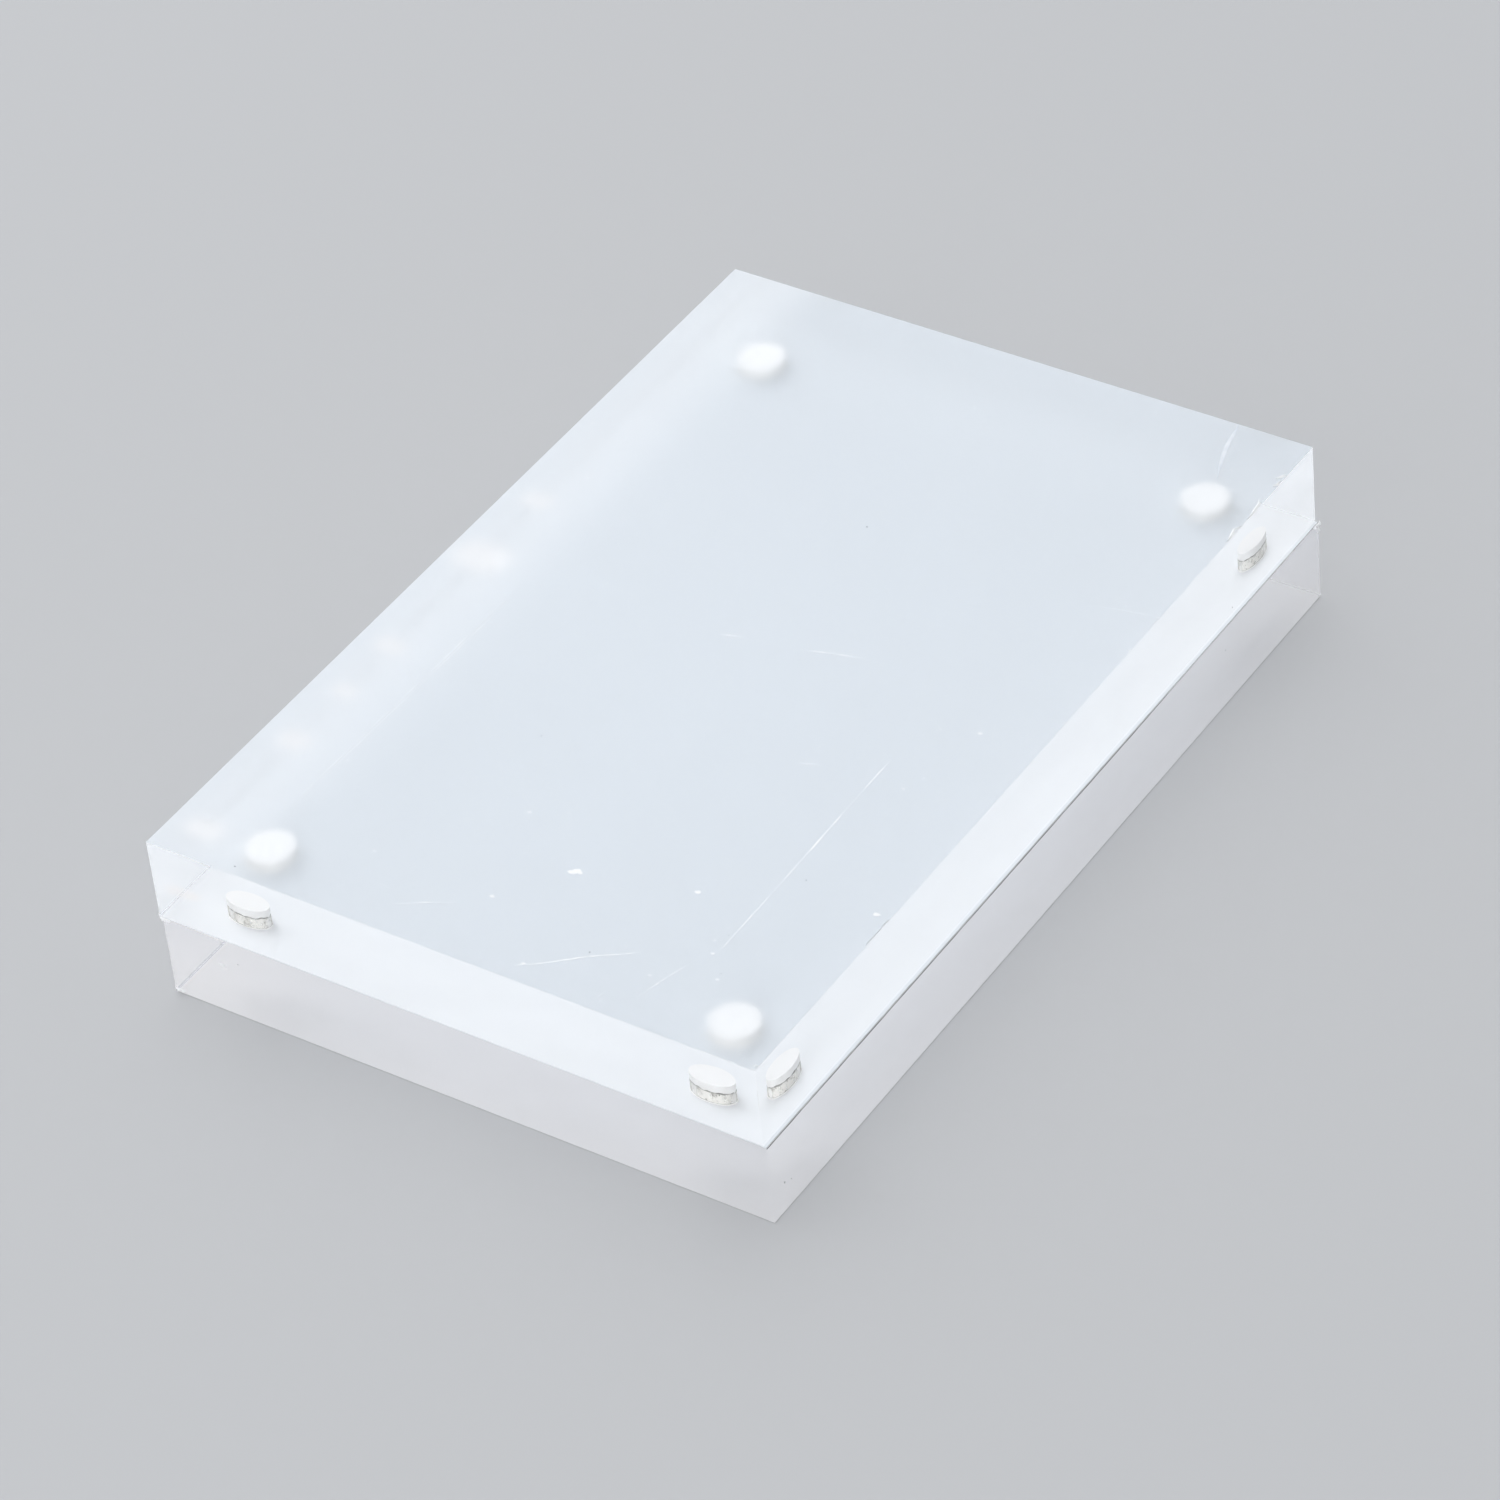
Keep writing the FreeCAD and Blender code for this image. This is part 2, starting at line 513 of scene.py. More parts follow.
def strew(name, bm, body, material, density, sizes, seed):
    """Specks strewn over the faces in bm, as one piece that rides on that body. Sizes gives the
    smallest and the largest half sizes of a speck in millimetres."""
    piece = new_piece(name, bm, None)
    strewing = piece.modifiers.new("specks", "NODES")
    strewing.node_group = specks
    smallest, largest = (tuple(length * mm for length in size) for size in sizes)
    strewing[speck_inputs["Density"]] = density
    strewing[speck_inputs["Smallest"]] = smallest
    strewing[speck_inputs["Largest"]] = largest
    strewing[speck_inputs["Seed"]] = seed
    strewing[speck_inputs["Material"]] = material
    keep_modified(piece)
    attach(piece, body)


# The glue's wall between cap and air line: a slightly darker copy of the glue, painted shade.
shaded_wall_paste = speckled("adhesive_wall_painted_shade", (0.9, 0.89, 0.875), (0.97, 0.965, 0.955), 500.0, 0.5)
# Painted shade: the dark colour of the air line at the magnet's inner rim.
air_line_shade = speckled("air_line", (0.09, 0.085, 0.08), (0.5, 0.49, 0.46), 1600.0, 0.4)
bubble = speckled("bubble", (0.9, 0.9, 0.88), (0.97, 0.97, 0.96), 3000.0, 0.12, 1.0)
# Dark bubbles: dark grey specks that are painted reflection.
painted_reflection_pit = speckled("reflection_painted_bubble", (0.16, 0.155, 0.14), (0.42, 0.41, 0.38), 3000.0, 0.25)

noise.seed_set(glue_seed)
for side, (body, way) in halves.items():
    cups = bmesh.new()
    sleeves = bmesh.new()
    mouths = bmesh.new()
    for corner in corners:
        mouth, pocket_radius, magnet_radius, magnet_depth, pocket_depth = pockets[side, corner]
        mouth_radius = pocket_radius + mouth_bevel
        cap = [(pocket_radius * share, pocket_depth) for share in cap_rings]
        wall = [(pocket_radius, (pocket_depth + magnet_depth) / 2)]
        wall += [(pocket_radius, magnet_depth + air_line, air_line_waver)]
        sleeve = [(pocket_radius, magnet_depth - air_line / 2, air_line_waver / 2)]
        drop = (magnet_depth - mouth_bevel - air_line) / sleeve_steps
        for i in reversed(range(sleeve_steps)):
            sleeve.append((pocket_radius, mouth_bevel + drop * i))
        lip = [(mouth_radius + flare, flare), (magnet_radius + sleeve_gap, flare)]
        seat = magnet_depth + sleeve_gap
        lining = [(magnet_radius + sleeve_gap, seat), (0, seat)]
        wall_start = len(cups.faces) + (len(cap) - 1) * turn_steps
        air_start = wall_start + len(wall) * turn_steps
        sleeve_start = air_start + turn_steps
        sleeve_end = sleeve_start + (len(sleeve) - 1) * turn_steps
        turn_profile(cups, cap + wall + sleeve + lip + lining, mouth, way)
        cups.faces.ensure_lookup_table()
        for face in cups.faces[wall_start:air_start]:
            face.material_index = 3
        for face in cups.faces[air_start:sleeve_start]:
            face.material_index = 2
        for face in cups.faces[sleeve_start:sleeve_end]:
            face.material_index = 1
        band = [(pocket_radius, magnet_depth - air_line), (pocket_radius, mouth_bevel)]
        turn_profile(sleeves, band, mouth, way)
        turn_profile(mouths, [(mouth_radius + fleck_spread, flare), (mouth_radius, flare)], mouth, way)
    for vert in cups.verts:
        vert.co += glue_uneven * noise.noise_vector(vert.co * glue_uneven_scale)
    piece = new_piece(f"{side}_adhesive", cups, body, adhesive, thin_adhesive, air_line_shade, shaded_wall_paste)
    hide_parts(*[f"{side}_glue_{corner}" for corner in corners])
    for name, bm, material, density, sizes, seed in (
        ("bubbles", sleeves.copy(), bubble, bubble_density, bubble_sizes, bubble_seed),
        # Dark specks strewn here are painted reflection.
        ("reflection_painted_bubbles", sleeves, painted_reflection_pit, painted_reflection_pit_density, bubble_sizes, painted_reflection_pit_seed),
        ("glue_flecks", mouths, adhesive, fleck_density, fleck_sizes, fleck_seed),
    ):
        strew(f"{side}_{name}", bm, body, material, density, sizes, seed + way)


# Masking film on the mating faces. Thin milky polyethylene, pressed on both sides of the sheet
# before it was sawn and drilled, so it ends at the edges and at the pockets. It is smudged along
# the left edge, with painted light there, has a painted sheen where it is seen along its face, and
# a painted shade at the back slab's sawn right edge.
film_bite = 0.01 * mm
film_step = 1.2 * mm
film_reach = 0.1 * mm
left_reach = 0.05 * mm
far_reach = 0.15 * mm
under_left_reach = -0.08 * mm
saw_fray = 0.02 * mm
inner_fray_seed = 3
ledge_peel = 0.05 * mm
film_cloud_scale = 45.0
film_grain_scale = 2400.0
film_grain = (0.15, 0.01 * mm)
no_tint = (1, 1, 1, 1)
inner_white = (0.70, 0.74, 0.78, 1)
# Painted sheen: the film's colour where it is seen along its face, also painted as light along the left
# edge.
inner_sheen_white = (0.958, 0.976, 0.998, 1)
smudge_white = (0.985, 0.972, 0.97, 1)
smudge_height = 14 * mm
smudges = {
    (-50.2, 20.5): 2.6,
    (-49.8, 5.4): 5.0,
    (-50.2, -18.0): 2.6,
    (-50.4, -29.5): 2.2,
    (-50.4, -42.1): 3.0,
    (-50.0, -64.0): 3.0,
}
# Painted light along the left edge: where it fades out and how much it whitens the film.
painted_light_edge = (-51 * mm, -37 * mm)
painted_light_share = 0.6
# Painted shade on the film under the block: the way and the stretch over which it darkens.
painted_shade_way = (1.0, 0.3, 0.0)
painted_shade_stretch = (10 * mm, 60 * mm)


def film_material(name, white, milk, tint, lamp_share, sheen_white=None, smudge=None, painted_shade=None):
    """Milky film: white is its colour, milk how much it hides, tint what it does to the rest,
    sheen_white a painted sheen, its colour where it is seen along its face and as painted light
    along the left edge, smudge its colour where it is marked, and painted_shade a painted shade,
    its colour towards the far right corner."""
    material, tree, surface = new_material(name)
    place = add_node(tree, "ShaderNodeTexCoord").outputs["Object"]
    cover = mapped(tree, clouded(tree, film_cloud_scale, 3.0), (0.3, 0.7), (milk * 0.94, milk))
    grain = bumped(tree, clouded(tree, film_grain_scale, 2.0), *film_grain)
    sheet = add_node(
        tree, "ShaderNodeBsdfPrincipled", {"Normal": grain}, Base_Color=white, Roughness=0.5
    )
    if sheen_white:
        # Painted sheen: the colour whitens where the film is seen along its face.
        facing = add_node(tree, "ShaderNodeLayerWeight", Blend=0.5).outputs["Facing"]
        colour = blended(tree, mapped(tree, facing, (0.2, 0.6), (0, 1)), white, sheen_white)
        # Painted light: the film's colour whitens towards the left edge.
        across = add_node(tree, "ShaderNodeSeparateXYZ", {"Vector": place}).outputs["X"]
        painted_light = mapped(tree, across, painted_light_edge, (painted_light_share, 0), smooth=True)
        colour = blended(tree, painted_light, colour, sheen_white)
        for (x, y), reach in smudges.items():
            apart = add_node(tree, "ShaderNodeVectorMath", {0: place}, operation="DISTANCE")
            apart.inputs[1].default_value = (x * mm, y * mm, smudge_height)
            span = (reach * mm / 4, reach * mm)
            near = mapped(tree, apart.outputs["Value"], span, (1, 0), smooth=True)
            colour = blended(tree, near, colour, smudge)
        tree.links.new(colour, sheet.inputs["Base Color"])
    # Painted shade: the colour darkens towards the far right corner.
    if painted_shade:
        towards = add_node(tree, "ShaderNodeVectorMath", {0: place}, operation="DOT_PRODUCT")
        towards.inputs[1].default_value = painted_shade_way
        shade_share = mapped(tree, towards.outputs["Value"], painted_shade_stretch, (0, 1))
        tree.links.new(blended(tree, shade_share, white, painted_shade), sheet.inputs["Base Color"])
    clear = add_node(tree, "ShaderNodeBsdfTransparent", Color=tint)
    mixed = add_node(
        tree, "ShaderNodeMixShader", {0: cover, 1: clear.outputs["BSDF"], 2: sheet.outputs["BSDF"]}
    )
    tree.links.new(for_lamps(tree, mixed.outputs["Shader"], lamp_share), surface)
    return material


def frayed_outline(low, high, fray, seed):
    """Points round a sheet's outline, each up to fray inside it."""
    chance = random.Random(seed)
    loop = [(low.x, low.y), (high.x, low.y), (high.x, high.y), (low.x, high.y)]
    points = []
    for (ax, ay), (bx, by) in zip(loop, loop[1:] + loop[:1]):
        count = round(max(abs(bx - ax), abs(by - ay)) / film_step)
        inward = Vector((ay - by, bx - ax)).normalized()
        for i in range(count):
            along = Vector((ax + (bx - ax) * i / count, ay + (by - ay) * i / count))
            points.append(along + inward * chance.uniform(0, fray) if i else along)
    return points


def film_sheet(name, outline, holes, bottom, top, body, material, sawn_edge_shade=None):
    """A closed thin sheet of that outline, with those round holes (centre, radius). Its edge on
    the +X side can have a painted shade of its own."""
    bm = bmesh.new()
    loops = [outline]
    turns = [2 * pi * i / turn_steps for i in range(turn_steps)]
    for centre, radius in holes:
        loops.append([centre.xy + radius * Vector((cos(turn), sin(turn))) for turn in turns])
    borders = ([], [])
    for loop in loops:
        below, above = rings = [
            [bm.verts.new((point.x, point.y, height)) for point in loop] for height in (bottom, top)
        ]
        for border, ring in zip(borders, rings):
            border += [bm.edges.new(pair) for pair in zip(ring, ring[1:] + ring[:1])]
        for i in range(len(loop)):
            after = (i + 1) % len(loop)
            bm.faces.new((below[i], below[after], above[after], above[i]))
    for border, ring in zip(borders, rings):
        if holes:
            bmesh.ops.triangle_fill(bm, use_beauty=True, edges=border)
        else:
            bm.faces.new(ring)
    bmesh.ops.recalc_face_normals(bm, faces=bm.faces)
    sawn_x = max(point.x for point in outline) - 2 * saw_fray
    for face in bm.faces:
        sawn = face.normal.x > 0.5 and face.calc_center_median().x > sawn_x
        face.material_index = 1 if sawn and sawn_edge_shade else 0
    return new_piece(name, bm, body, material, *filter(None, [sawn_edge_shade]))


# The film's sawn right edge painted dark: painted shade of the line in the joint.
film_edge_shade = speckled("film_edge_painted_shade", (0.06, 0.06, 0.06), (0.42, 0.41, 0.4), 500.0, 0.6)
inner_film = film_material(
    "inner_masking_film", inner_white, 1.0, no_tint, 1.0, inner_sheen_white, smudge_white
)
for side, (body, way) in halves.items():
    low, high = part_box(f"{side}_inner_film")
    low = low - Vector((left_reach, film_reach, 0))
    high = high + Vector((film_reach - (ledge_peel if way < 0 else 0), far_reach, 0))
    bottom = low.z - (film_bite if way < 0 else -film_bite / 2)
    top = high.z + (film_bite if way > 0 else -film_bite / 2)
    outline = frayed_outline(low, high, saw_fray, inner_fray_seed + way)
    holes = [(pockets[side, corner][0], pockets[side, corner][1] + mouth_bevel) for corner in corners]
    # Painted shade on the back film's +X edge.
    sawn_edge_shade = film_edge_shade if way < 0 else None
    sheet = film_sheet(f"{side}_mating_film", outline, holes, bottom, top, body, inner_film, sawn_edge_shade)
    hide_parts(f"{side}_inner_film")


# Masking film on the outer faces. The same film. The front one is the milky top of the block, and
# the far end of its right edge is torn. The back one lies on the table, with a painted shade
# towards its far right corner.
torn_stretch = (49.0, 76.0)
torn_depth = 0.4 * mm
torn_step = 0.35 * mm
torn_bends = 0.15
torn_row = 4
torn_seed = 12
outer_fray_seed = 8
fine_gap = 0.3 * mm
top_white = (0.6, 0.66, 0.74, 1)
top_tint = (0.98, 0.983, 0.985, 1)
under_white = (0.88, 0.87, 0.875, 1)
# Painted shade of the film under the block, towards its far right corner.
under_painted_shade = (0.79, 0.785, 0.795, 1)

outer_film = film_material("outer_masking_film", top_white, 0.05, top_tint, 1.0)
under_film = film_material("under_masking_film", under_white, 1.0, no_tint, 0.5, painted_shade=under_painted_shade)
for side, (body, way) in halves.items():
    low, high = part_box(f"{side}_outer_film")
    bottom = low.z - (film_bite if way > 0 else -film_bite / 2)
    top = high.z + (film_bite if way < 0 else -film_bite / 2)
    material = outer_film if way > 0 else under_film
    low = low - Vector((film_reach if way > 0 else under_left_reach, film_reach, 0))
    high = high + Vector((film_reach, far_reach, 0))
    outline = frayed_outline(low, high, saw_fray, outer_fray_seed + way)
    if way > 0:
        chance = random.Random(torn_seed)
        start, end = torn_stretch
        right_side = high.x - fine_gap
        kept = [point for point in outline if point.x < right_side or not start < point.y / mm < end]
        torn = []
        for i in range(int((end - start) * mm / torn_step)):
            bite = torn_depth * max(0, noise.noise(Vector((i * torn_bends, torn_row, 0))))
            bite += chance.uniform(0, saw_fray)
            torn.append(Vector((high.x - bite, start * mm + i * torn_step)))
        at_edge = high.x - 2 * saw_fray
        after = next(i for i, point in enumerate(kept) if point.x > at_edge and point.y / mm >= end)
        outline = kept[:after] + torn + kept[after:]
    sheet = film_sheet(f"{side}_face_film", outline, [], bottom, top, body, material)
    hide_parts(f"{side}_outer_film")


# Wear on the top film. Knocks and sliding on a bench leave pale hairlines, a crease near the far
# right corner, small dents, dust and lint. Slivers curl up along the right edge, most of all where
# the film has torn.
crease = [(38.2, 75.8), (38.6, 73.9), (38.9, 71.6), (39.7, 68.8), (40.6, 66.0), (41.9, 63.0)]
crease_width = 0.7 * mm
crease_rise = 0.004 * mm
hairlines = {
    "long_diagonal": ((10.05, -73.6), (23.8, -63.5), 0.07),
    "long_lengthwise": ((33.3, -58.1), (32.8, -12.2), 0.06),
    "left_first": ((-37.4, -62.8), (-36.4, -4.4), 0.05),
    "left_second": ((-36.9, -60.5), (-35.9, -8.0), 0.04),
    "middle": ((8.3, 1.5), (17.6, 4.2), 0.07),
    "short": ((-4.1, -0.5), (-0.4, 0.4), 0.08),
    "right_short": ((21.8, -19.8), (24.6, -18.9), 0.08),
    "right_edge": ((40.2, 29.2), (49.4, 31.1), 0.035),
    "near_first": ((-12.0, -71.0), (-4.5, -66.4), 0.05),
    "near_second": ((28.5, -70.8), (31.0, -63.0), 0.05),
}
hairline_steps = 40
hairline_sway = 0.25 * mm
hairline_bends = 2.5
hairline_spread = 4.6
hairline_breaks = 1.4
hairline_rise = 0.02 * mm
hairline_proud = 0.9
sway_seed_step = 7.3
break_seed_step = 5.3
end_taper = 0.3
least_taper = 0.02
break_scale = 0.45
break_middle = 0.7
break_span = (0.25, 1.3)
pale_marks = {
    (24.1, -49.5): 0.5,
    (41.0, -2.7): 0.4,
    (-0.8, -63.3): 0.45,
    (48.4, -42.1): 0.55,
    (10.9, -72.8): 0.4,
    (32.8, -59.2): 0.3,
    (36.2, -63.3): 0.3,
    (37.7, -17.9): 0.3,
    (35.5, -4.4): 0.3,
    (-6.3, -46.1): 0.35,
    (27.6, -66.8): 0.3,
    (-21.0, -63.0): 0.3,
}
arrow_fleck = {(6.2, -54.0): 0.6, (6.7, -53.5): 0.65, (7.2, -53.6): 0.5}
dark_marks = {
    (17.7, -66.7): 0.16,
    (1.7, 30.2): 0.18,
    (-36.6, -74.7): 0.16,
    (-14.2, -31.5): 0.12,
    (36.0, -40.5): 0.12,
}
mark_flatness = (1, 0.7, 0.08)
lump_depth = 0.45
lump_scale = 1.7
mark_seed_step = 3.1
torn_curls = {
    "first": ([(49.5, 67.0), (50.0, 67.9), (50.4, 68.4)], 0.8),
    "first_tail": ([(50.4, 66.8), (50.3, 65.9), (50.0, 65.2)], 0.65),
    "second": ([(49.7, 61.5), (50.2, 60.8), (50.4, 58.9), (50.5, 56.7)], 0.6),
    "third": ([(50.5, 54.8), (50.0, 53.8), (50.3, 52.4), (50.4, 50.9)], 0.65),
    "third_tail": ([(49.8, 51.4), (50.4, 50.6)], 0.6),
    "fourth": ([(50.5, -42.4), (50.3, -44.0)], 0.5),
    "fifth": ([(50.5, -44.4), (50.4, -48.0)], 0.35),
}
curl_height = 0.2 * mm
curl_proud = 0.8
field_inset = 1.0 * mm
lint_end = 20.0 * mm
sliver_strip = 0.25 * mm
chip_patch = (0.9 * mm, 1.0 * mm)
chip_overhang = 0.1 * mm
# How many to the square metre, their smallest and largest half sizes in millimetres, and a seed
dust = (1.6e4, ((0.1, 0.1, 0.01), (0.34, 0.22, 0.02)), 41)
lint = (0.4e4, ((0.04, 0.04, 0.01), (0.12, 0.08, 0.02)), 42)
scuffs = (2.2e3, ((0.3, 0.03, 0.01), (1.3, 0.05, 0.02)), 43)
curls = (0.3e6, ((0.04, 0.1, 0.03), (0.1, 0.35, 0.06)), 44)
slivers = (0.45e6, ((0.04, 0.1, 0.02), (0.1, 0.6, 0.05)), 45)
chips = (7.0e6, ((0.06, 0.05, 0.02), (0.26, 0.16, 0.06)), 46)

top_low, top_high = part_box("front_outer_film")
top_height = top_high.z
edge_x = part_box("front_block")[1].x
pale_mark = speckled("pale_scuff", (0.9, 0.92, 0.94), (0.99, 0.99, 0.99), 1600.0, 0.55)
creased = speckled("creased_film", (0.69, 0.735, 0.79), (0.79, 0.825, 0.865), 700.0, 0.5)
grey_mark = speckled("lint", (0.3, 0.3, 0.31), (0.56, 0.56, 0.57), 2600.0, 0.7)
white_fleck = speckled("film_sliver", (0.93, 0.94, 0.95), (0.99, 0.99, 0.99), 2600.0, 0.5)
pale_dust = speckled("pale_dust", (0.88, 0.9, 0.925), (0.99, 0.99, 0.99), 2600.0, 0.6)


def draw_ridge(bm, points, width, height, breaks=0.0, seed=0.0):
    """A low closed ridge along those points, tapering to nothing at both ends. With breaks it
    narrows and widens on its way."""
    rings = []
    for i, point in enumerate(points):
        ahead = points[min(i + 1, len(points) - 1)] - points[max(i - 1, 0)]
        across = Vector((-ahead.y, ahead.x, 0)).normalized() * width / 2
        taper = max(sin(pi * i / (len(points) - 1)) ** end_taper, least_taper)
        if breaks:
            narrow, wide = break_span
            swell = break_middle + breaks * noise.noise(Vector((i * break_scale, seed, 0)))
            taper *= min(wide, max(narrow, swell))
        foot = point - Vector((0, 0, height))
        rings.append([bm.verts.new(p) for p in (foot - across * taper, foot + across * taper, point)])
    for ring, following in zip(rings, rings[1:]):
        for i in range(3):
            bm.faces.new((ring[i], ring[(i + 1) % 3], following[(i + 1) % 3], following[i]))
    bm.faces.new(rings[0])
    bm.faces.new(reversed(rings[-1]))


bm = bmesh.new()
for number, (start, end, width) in enumerate(hairlines.values()):
    ax, ay = start
    bx, by = end
    route = []
    for i in range(hairline_steps + 1):
        share = i / hairline_steps
        sway = hairline_sway * noise.noise(Vector((share * hairline_bends, number * sway_seed_step, 0)))
        x = (ax + (bx - ax) * share) * mm + sway
        y = (ay + (by - ay) * share) * mm - sway
        route.append(Vector((x, y, top_height + hairline_proud * hairline_rise)))
    spread = width * hairline_spread * mm
    draw_ridge(bm, route, spread, hairline_rise, hairline_breaks, number * break_seed_step)
new_piece("front_film_hairlines", bm, "front_half", pale_mark)

bm = bmesh.new()
route = [Vector((x * mm, y * mm, top_height + crease_rise)) for x, y in crease]
draw_ridge(bm, route, crease_width, 2 * crease_rise)
new_piece("front_film_crease", bm, "front_half", creased)


def dab(bm, place, reach, flatness, seed):
    """A small uneven blob on a surface, squeezed along each axis by flatness."""
    made = bmesh.ops.create_icosphere(bm, subdivisions=2, radius=1.0)["verts"]
    for vert in made:
        lump = 1 + lump_depth * noise.noise(vert.co * lump_scale + Vector((seed, 0, 0)))
        vert.co = place + Vector([vert.co[i] * reach * lump * flatness[i] for i in range(3)])


for name, marks, material in (
    ("pale", pale_marks | arrow_fleck, white_fleck),
    ("dark", dark_marks, grey_mark),
):
    bm = bmesh.new()
    for number, ((x, y), reach) in enumerate(marks.items()):
        place = Vector((x * mm, y * mm, top_height))
        dab(bm, place, reach * mm, mark_flatness, number * mark_seed_step)
    new_piece(f"front_film_{name}_marks", bm, "front_half", material)


def strew_top(name, low, high, material, density, sizes, seed, slot="masking_film"):
    """Specks strewn over the stretch of the top film between those two corners."""
    bm = bmesh.new()
    ring = (low, (high[0], low[1]), high, (low[0], high[1]))
    bm.faces.new([bm.verts.new((x, y, top_height)) for x, y in ring])
    strew(name, bm, "front_half", material, density, sizes, seed)


start, end = torn_stretch
field_low = (top_low.x + field_inset, top_low.y + field_inset)
field_high = (top_high.x - field_inset, top_high.y - field_inset)
strew_top("front_film_dust", field_low, field_high, pale_dust, *dust)
strew_top("front_film_lint", field_low, (field_high[0], lint_end), grey_mark, *lint)
strew_top("front_film_scuffs", field_low, field_high, pale_mark, *scuffs)
low, high = (edge_x - torn_depth, start * mm), (edge_x, end * mm)
strew_top("front_film_curls", low, high, white_fleck, *curls)

bm = bmesh.new()
for points, width in torn_curls.values():
    route = [Vector((x * mm, y * mm, top_height + curl_proud * curl_height)) for x, y in points]
    draw_ridge(bm, route, width * mm, curl_height)
new_piece("front_torn_curls", bm, "front_half", white_fleck)

low, high = (edge_x - sliver_strip, top_low.y), (edge_x, start * mm)
strew_top("front_edge_slivers", low, high, white_fleck, *slivers)
low, high = (edge_x - chip_patch[0], top_low.y - chip_overhang), (edge_x, top_low.y + chip_patch[1])
strew_top("front_corner_chips", low, high, white_fleck, *chips, slot="clear_acrylic")


# Film tags. Where the saw left the film's corners and its left edge loose, small crumpled tags
# stick out of the joint and from under the block.
tag_seed = 2
tag_rows = 12
tag_columns = 6
tag_wall = 0.05 * mm
tag_weld = 0.004 * mm
tag_least = 0.35
tag_ragged = 3.1
tag_crumples = (4.0, 2.5)
tag_folds = 9
tag_fold_share = 0.4
edge_tag_sizes = (0.35, 0.25)
edge_tag_seed = 20
edge_tag_inset = 0.02 * mm


def film_tag(name, root, along, out, sizes, seed, body):
    """A crumpled scrap of film that starts at root and runs along, sticking out. Sizes gives its
    length, its width and how far it is crumpled, in millimetres."""
    bm = bmesh.new()
    length, width, crumple = (size * mm for size in sizes)
    lift = along.cross(out).normalized()
    grid = []
    for i in range(tag_rows + 1):
        share = i / tag_rows
        ragged = 2 * abs(noise.noise(Vector((share * tag_ragged, seed, 0))))
        reach = width * (tag_least + (1 - tag_least) * ragged) * sin(pi * share) ** 0.5
        line = []
        for j in range(tag_columns + 1):
            climb = j / tag_columns
            place = root + along * length * share + out * reach * climb
            spot = Vector((share * tag_crumples[0], climb * tag_crumples[1], seed))
            shake = noise.noise_vector(spot) * crumple * climb
            fold = lift * crumple * tag_fold_share * sin(tag_folds * share) * climb
            line.append(bm.verts.new(place + shake + fold))
        grid.append(line)
    for line, following in zip(grid, grid[1:]):
        for j in range(tag_columns):
            bm.faces.new((line[j], line[j + 1], following[j + 1], following[j]))
    bmesh.ops.remove_doubles(bm, verts=bm.verts[:], dist=tag_weld)
    tag = new_piece(name, bm, None, white_fleck)
    wall = tag.modifiers.new("wall", "SOLIDIFY")
    wall.thickness = tag_wall
    wall.offset = 0
    keep_modified(tag)
    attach(tag, body)


noise.seed_set(tag_seed)
east, north, up = Vector((1, 0, 0)), Vector((0, 1, 0)), Vector((0, 0, 1))
front_low, front_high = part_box("front_block")
back_low, back_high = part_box("back_block")
joint_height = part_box("front_inner_film")[0].z
left_corner = Vector((front_low.x, front_low.y, joint_height + 0.05 * mm))
right_corner = Vector((back_high.x, back_high.y, joint_height - 0.1 * mm))
under_corner = Vector((back_low.x, back_low.y, back_low.z + 0.1 * mm))
tags = {
    "left_joint_tag": (left_corner - north * 0.05 * mm, east, -north, (1.9, 0.6, 0.35), 3, "front_half"),
    "left_joint_flap": (left_corner, north, -east, (1.6, 0.5, 0.3), 5, "front_half"),
    "right_joint_tag": (right_corner - north * 1.6 * mm, north, east, (2.0, 0.7, 0.5), 8, "back_half"),
    "right_joint_star": (right_corner - north * 0.3 * mm, -up, north, (1.3, 0.9, 0.5), 11, "back_half"),
    "under_corner_tag": (under_corner + up * 0.5 * mm, east, -north, (1.8, 0.5, 0.4), 14, "back_half"),
}
for name, settings in tags.items():
    film_tag(name, *settings)
for number, ((x, y), reach) in enumerate(smudges.items()):
    start = Vector((front_low.x + edge_tag_inset, y * mm, joint_height)) - north * reach * mm / 2
    name = f"left_edge_tag_{number + 1}"
    film_tag(name, start, north, -east, (reach, *edge_tag_sizes), edge_tag_seed + number, "front_half")


# Painted shade in the joint. A dark strip under the sawn edge of the back slab's film, where its edge
# stands out past the front slab, paints the shadow line there. It thins out towards the far end.
shade_steps = 240
shade_drop = (0.13 * mm, 0.26 * mm)
shade_stand = 0.015 * mm
shade_fade = (20.0 * mm, 45.0 * mm)
shade_least = 0.15
shade_bends = 40

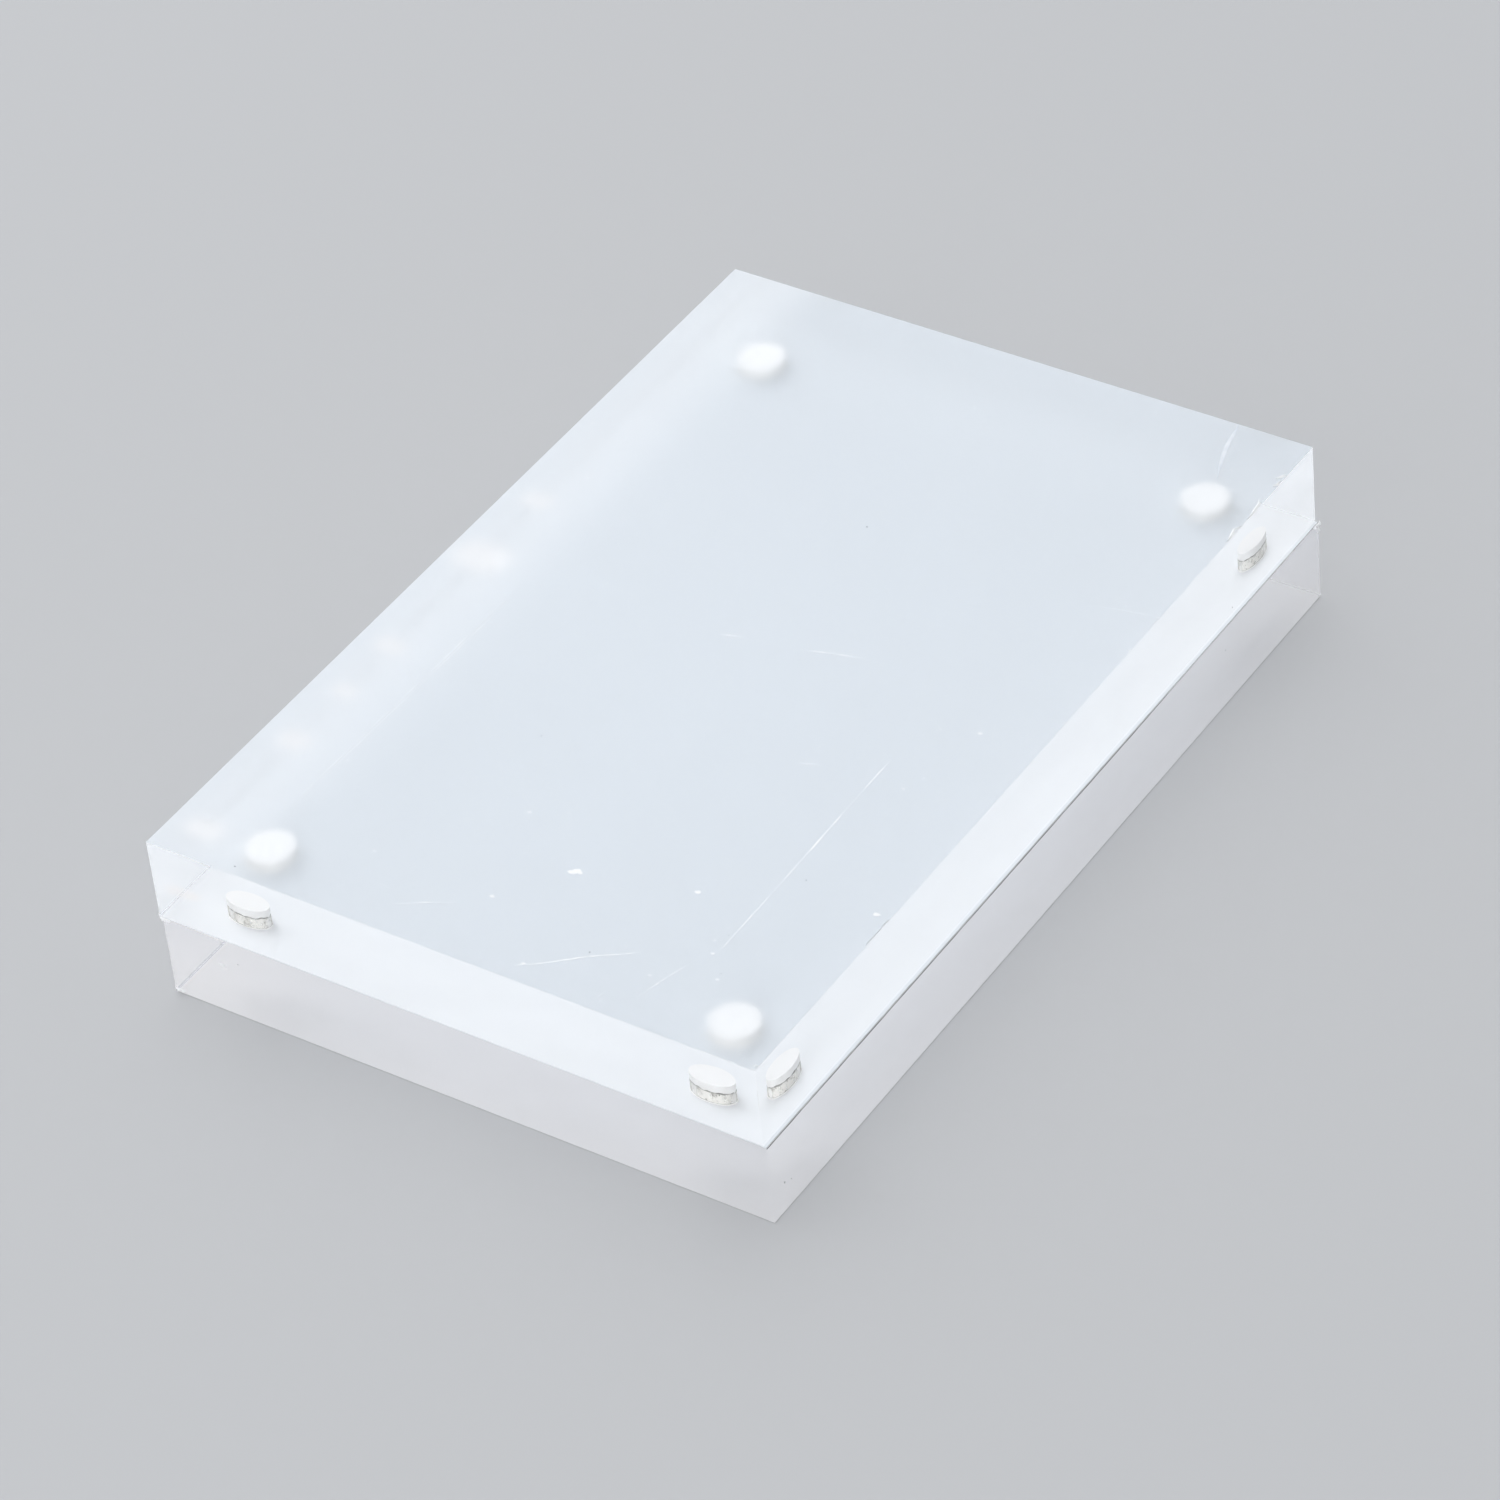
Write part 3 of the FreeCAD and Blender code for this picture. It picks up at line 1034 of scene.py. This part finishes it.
# A dark strip in the joint: painted shade.
joint_shade = speckled("joint_painted_shade", (0.07, 0.07, 0.07), (0.3, 0.295, 0.29), 260.0, 0.75)
bm = bmesh.new()
rings = []
least, most = shade_drop
fade_start, fade_end = shade_fade
for i in range(shade_steps + 1):
    share = i / shade_steps
    y = back_low.y + edge_round + (back_high.y - back_low.y - 2 * edge_round) * share
    drop = least + (most - least) * (0.5 + 0.5 * noise.noise(Vector((share * shade_bends, 2, 0))))
    drop *= min(1, max(shade_least, (fade_end - y) / (fade_end - fade_start)))
    middle = back_high.z - drop / 2
    section = [(back_high.x, back_high.z), (back_high.x + shade_stand, middle)]
    section += [(back_high.x, back_high.z - drop), (back_high.x - shade_stand, middle)]
    rings.append([bm.verts.new((x, y, z)) for x, z in section])
for ring, following in zip(rings, rings[1:]):
    for i in range(4):
        bm.faces.new((ring[i], ring[(i + 1) % 4], following[(i + 1) % 4], following[i]))
bm.faces.new(rings[0])
bm.faces.new(reversed(rings[-1]))
new_piece("joint_painted_shade", bm, "back_half", joint_shade)


# Marks on the polished sides. Specks of dust on the two sides that meet at the near right corner,
# and one pale chip low on the near side.
near_specks = {
    (-40.9, 8.9): (0.65, white_fleck),
    (-37.9, 10.2): (0.16, grey_mark),
    (-40.1, 8.5): (0.14, white_fleck),
}
right_specks = {
    (-73.0, 5.0): (0.16, grey_mark),
    (-71.4, 4.3): (0.12, grey_mark),
    (48.0, 9.9): (0.14, grey_mark),
}
front_speck = (51.3, 15.4)
front_speck_reach = 0.14 * mm
near_flatness = (1, 0.12, 0.5)
right_flatness = (0.12, 1, 0.7)
speck_seed_step = 2.3
front_speck_seed = 7.7

side_specks = []
for (x, z), look in near_specks.items():
    side_specks.append((Vector((x * mm, back_low.y, z * mm)), near_flatness, *look))
for (y, z), look in right_specks.items():
    side_specks.append((Vector((back_high.x, y * mm, z * mm)), right_flatness, *look))
for label, material in (("pale", white_fleck), ("dark", grey_mark)):
    bm = bmesh.new()
    for number, (place, flatness, reach, look) in enumerate(side_specks):
        if look is material:
            dab(bm, place, reach * mm, flatness, number * speck_seed_step)
    new_piece(f"back_side_{label}_specks", bm, "back_half", material)

bm = bmesh.new()
y, z = front_speck
dab(bm, Vector((front_high.x, y * mm, z * mm)), front_speck_reach, right_flatness, front_speck_seed)
new_piece("front_side_speck", bm, "front_half", grey_mark)
